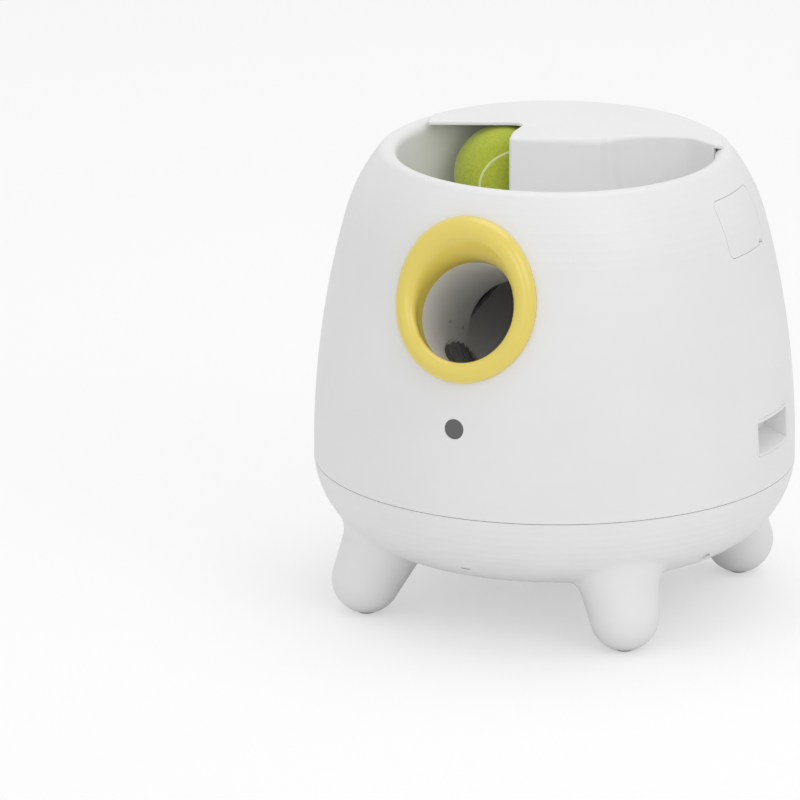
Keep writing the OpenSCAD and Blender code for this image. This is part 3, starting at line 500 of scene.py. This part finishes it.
def hopper_cover():
    """Deck with a rounded top edge, and the walls of the hump and the pocket under it.
    Each corner is u, d, plan radius, radius of the top edge, wall or not, lean of the foot."""
    top = DECK_Z + DECK_T
    thin, lip = 1.9, 0.5
    edge_rows, arc_points = 7, 80
    corners = [(-79.5, 51.5, 1.5, 0.9, 0, 0), (-18, 51, 6, 1.2, 0, 0), (-27, 29, 16, 2.0, 0, 0),
               (-29, 13, 2, 1.8, 1, 0), (-24, 13, 0, 2.0, 1, 0), (14, 13, 0, 5.5, 1, 0),
               (27, 13, 12, 5.5, 1, 4), (32.5, 11.8, 4.5, 3.5, 1, 7),
               (40, 17.5, 6, 3.5, 1, 5), (52, 20, 14, 2.5, 1, 1), (66, 20, 14, 2.0, 1, 0),
               (83, 17, 9, 1.8, 1, 0), (94.6, 2.5, 4, 1.2, 1, 0), (97.3, -0.6, 0, 0.9, 1, 0),
               (98.6, -1.3, 0, 0.9, 0, 0), (102.6, -2.5, 0, 0.9, 0, 0)]
    arc = []
    first, last = -1.4, 137.2
    for k in range(1, arc_points):
        a = math.radians(first + (last - first) * k / arc_points)
        arc.append((DECK_R * math.cos(a), DECK_R * math.sin(a), 0, 0.9, 0, 0))
    arc.append((-76, 71, 1.5, 0.9, 0, 0))
    path = rounded_path(corners + arc)
    clean = []
    for item in path:
        if clean and item[2] != clean[-1][2]:
            # Where a wall begins or ends, a near point without it keeps the wall's end upright
            wall, other = (item, clean[-1]) if item[2] else (clean[-1], item)
            beside = wall[0] + (other[0] - wall[0]).normalized() * 0.1
            clean.append((beside, wall[1], 0, 0))
        if not clean or (item[0] - clean[-1][0]).length > 0.05:
            clean.append(item)
    path = clean
    n = len(path)
    inward = []
    for i in range(n):
        a = path[i][0] - path[i - 1][0]
        b = path[(i + 1) % n][0] - path[i][0]
        na = Vector((-a.y, a.x)).normalized()
        nb = Vector((-b.y, b.x)).normalized()
        m = (na + nb).normalized()
        inward.append(m / max(m.dot(na), 0.5))
    edges = [item[1] for item in path]
    for _ in range(2):
        edges = [(edges[i - 1] + 2 * edges[i] + edges[(i + 1) % n]) / 4 for i in range(n)]
    rows = []
    for k in range(edge_rows):
        b = math.pi / 2 * (1 - k / (edge_rows - 1))
        row = []
        for i in range(n):
            e = edges[i]
            p = path[i][0] + inward[i] * (e - e * math.cos(b))
            row.append(turned(p.x, p.y, top - e + e * math.sin(b)))
        rows.append(row)
    low, back, under = [], [], []
    roof = top - DECK_T - 0.2
    for i in range(n):
        e = edges[i]
        p = path[i][0]
        q = p + inward[i] * (thin if path[i][2] else lip)
        foot = floor_at(p.y) + 0.3 if path[i][2] else roof
        lean = path[i][3] if path[i][2] else 0
        low.append(turned(p.x + lean, p.y, min(foot, top - e)))
        back.append(turned(q.x + lean, q.y, min(foot, roof)))
        under.append(turned(q.x, q.y, roof))
    rows += [low, back, under]
    v, f = loft(rows, caps=(0, -1))
    piece("hopper_cover_skin", v, f, "hopper", "housing", ["hopper_cover"], sharp=38)


hopper_cover()

# ---- Ball ----


def ball():
    """Felt ball with its groove pressed in along the seam, and the seam's strip in it."""
    low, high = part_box("ball")
    c = (low + high) / 2 / MM
    r = (high.z - low.z) / 2 / MM
    spin = Euler((math.radians(-95.0), math.radians(47.0), math.radians(-38.8))).to_matrix()
    a, b = 0.75, 0.25
    seam = []
    count = 360
    for k in range(count):
        t = 2 * math.pi * k / count
        p = Vector((a * math.cos(t) + b * math.cos(3 * t), a * math.sin(t) - b * math.sin(3 * t),
                    2 * math.sqrt(a * b) * math.sin(2 * t)))
        seam.append(spin @ p)
    bm = bmesh.new()
    bmesh.ops.create_icosphere(bm, subdivisions=6, radius=1.0)
    groove_w, groove_t = 0.052, 0.3
    for v in bm.verts:
        n = v.co.normalized()
        d = math.sqrt(max(0.0, 2 - 2 * max(n.dot(s) for s in seam[::3])))
        dip = groove_t * math.exp(-(d / groove_w) ** 2)
        v.co = c + n * (r - dip)
    verts = [v.co.copy() for v in bm.verts]
    faces = [tuple(v.index for v in f.verts) for f in bm.faces]
    bm.free()
    piece("ball_felt", verts, faces, "felt", "loose_ball", ["ball"], sharp=60)
    strip = ((-1.0, -0.9), (-0.8, -0.15), (-0.4, -0.02), (0.4, -0.02), (0.8, -0.15), (1.0, -0.9))
    rows = []
    for k in range(count):
        n = seam[k]
        along = (seam[(k + 1) % count] - seam[k - 1]).normalized()
        side = n.cross(along).normalized()
        row = []
        for x, h in strip:
            row.append(c + (n * r + side * x).normalized() * (r + h))
        rows.append(row)
    v, f = loft(rows, wrap_rows=True)
    piece("ball_seam_strip", v, f, "felt", "loose_ball", material="seam", sharp=60)


ball()

# ---- Studio ----


def stage():
    m, nodes, links, shader = tree("studio_floor")
    path = nodes.new("ShaderNodeLightPath")
    tone = nodes.new("ShaderNodeMix")
    tone.data_type = "RGBA"
    tone.inputs["A"].default_value = (0.92, 0.92, 0.92, 1)
    tone.inputs["B"].default_value = (0.56, 0.56, 0.56, 1)
    links.new(path.outputs["Is Camera Ray"], tone.inputs["Factor"])
    links.new(tone.outputs["Result"], shader.inputs["Base Color"])
    shader.inputs["Roughness"].default_value = 0.9
    shader.inputs["Specular IOR Level"].default_value = 0.1
    seen = nodes.new("ShaderNodeMath")
    seen.operation = "MULTIPLY"
    seen.inputs[1].default_value = 0.43
    links.new(path.outputs["Is Camera Ray"], seen.inputs[0])
    shader.inputs["Emission Color"].default_value = (1, 1, 1, 1)
    links.new(seen.outputs["Value"], shader.inputs["Emission Strength"])
    size = 30000.0
    mesh = bpy.data.meshes.new("studio_floor")
    mesh.from_pydata([(-size * MM, -size * MM, 0), (size * MM, -size * MM, 0),
                      (size * MM, size * MM, 0), (-size * MM, size * MM, 0)], [], [(0, 1, 2, 3)])
    floor = bpy.data.objects.new("studio_floor", mesh)
    mesh.materials.append(m)
    bpy.context.scene.collection.objects.link(floor)


stage()


def lamp(name, at, size, watts, target=(0, 0, 0.15)):
    data = bpy.data.lights.new(name, "AREA")
    data.shape = "DISK"
    data.size = size
    data.energy = watts
    obj = bpy.data.objects.new(name, data)
    obj.location = at
    obj.rotation_euler = (Vector(target) - Vector(at)).to_track_quat("-Z", "Y").to_euler()
    bpy.context.scene.collection.objects.link(obj)


# Name, place in metres, disc size in metres, watts
LAMPS = [("key", (2.5, -1.3, 2.0), 2.0, 14), ("front", (0.7, -3.0, 1.4), 1.6, 7.5),
         ("overhead", (0.0, 0.3, 3.0), 2.6, 20)]
for lamp_row in LAMPS:
    lamp(*lamp_row)

world = bpy.data.worlds.new("studio_world")
bpy.context.scene.world = world
world.use_nodes = True
wn, wl = world.node_tree.nodes, world.node_tree.links
background = wn["Background"]
path = wn.new("ShaderNodeLightPath")
seen = wn.new("ShaderNodeMath")
seen.operation = "MAXIMUM"
wl.new(path.outputs["Is Camera Ray"], seen.inputs[0])
wl.new(path.outputs["Is Glossy Ray"], seen.inputs[1])
level = wn.new("ShaderNodeMapRange")
level.inputs["To Min"].default_value = 0.70
level.inputs["To Max"].default_value = 1.0
wl.new(seen.outputs["Value"], level.inputs["Value"])
background.inputs["Color"].default_value = (1, 1, 1, 1)
wl.new(level.outputs["Result"], background.inputs["Strength"])

# ---- Camera ----


def camera():
    """Near-parallel view: the origin's place in the picture fixes where the camera points."""
    picture = 800.0
    focal = 10000.0
    azimuth, elevation = math.radians(24.5), math.radians(17.9)
    distance = 6.25
    origin_x, origin_y = 553.7, 590.6
    back = Vector((math.sin(azimuth) * math.cos(elevation),
                   -math.cos(azimuth) * math.cos(elevation), math.sin(elevation)))
    at = back * distance
    aim = Vector(((origin_x - picture / 2) / focal, -(origin_y - picture / 2) / focal, -1))
    aim.normalize()
    sight = -back
    reach = math.hypot(aim.y, aim.z)
    pitch = math.asin(sight.z / reach) - math.atan2(aim.z, aim.y)
    flat = Vector((aim.x, aim.y * math.cos(pitch) - aim.z * math.sin(pitch)))
    yaw = math.atan2(sight.y, sight.x) - math.atan2(flat.y, flat.x)
    data = bpy.data.cameras.new("camera")
    data.sensor_width = 36.0
    data.lens = focal * 36.0 / picture
    data.clip_end = 100.0
    obj = bpy.data.objects.new("camera", data)
    obj.matrix_world = Matrix.Translation(at) @ Euler((pitch, 0, yaw)).to_matrix().to_4x4()
    bpy.context.scene.collection.objects.link(obj)
    bpy.context.scene.camera = obj


camera()
bpy.context.scene.view_settings.view_transform = "Standard"
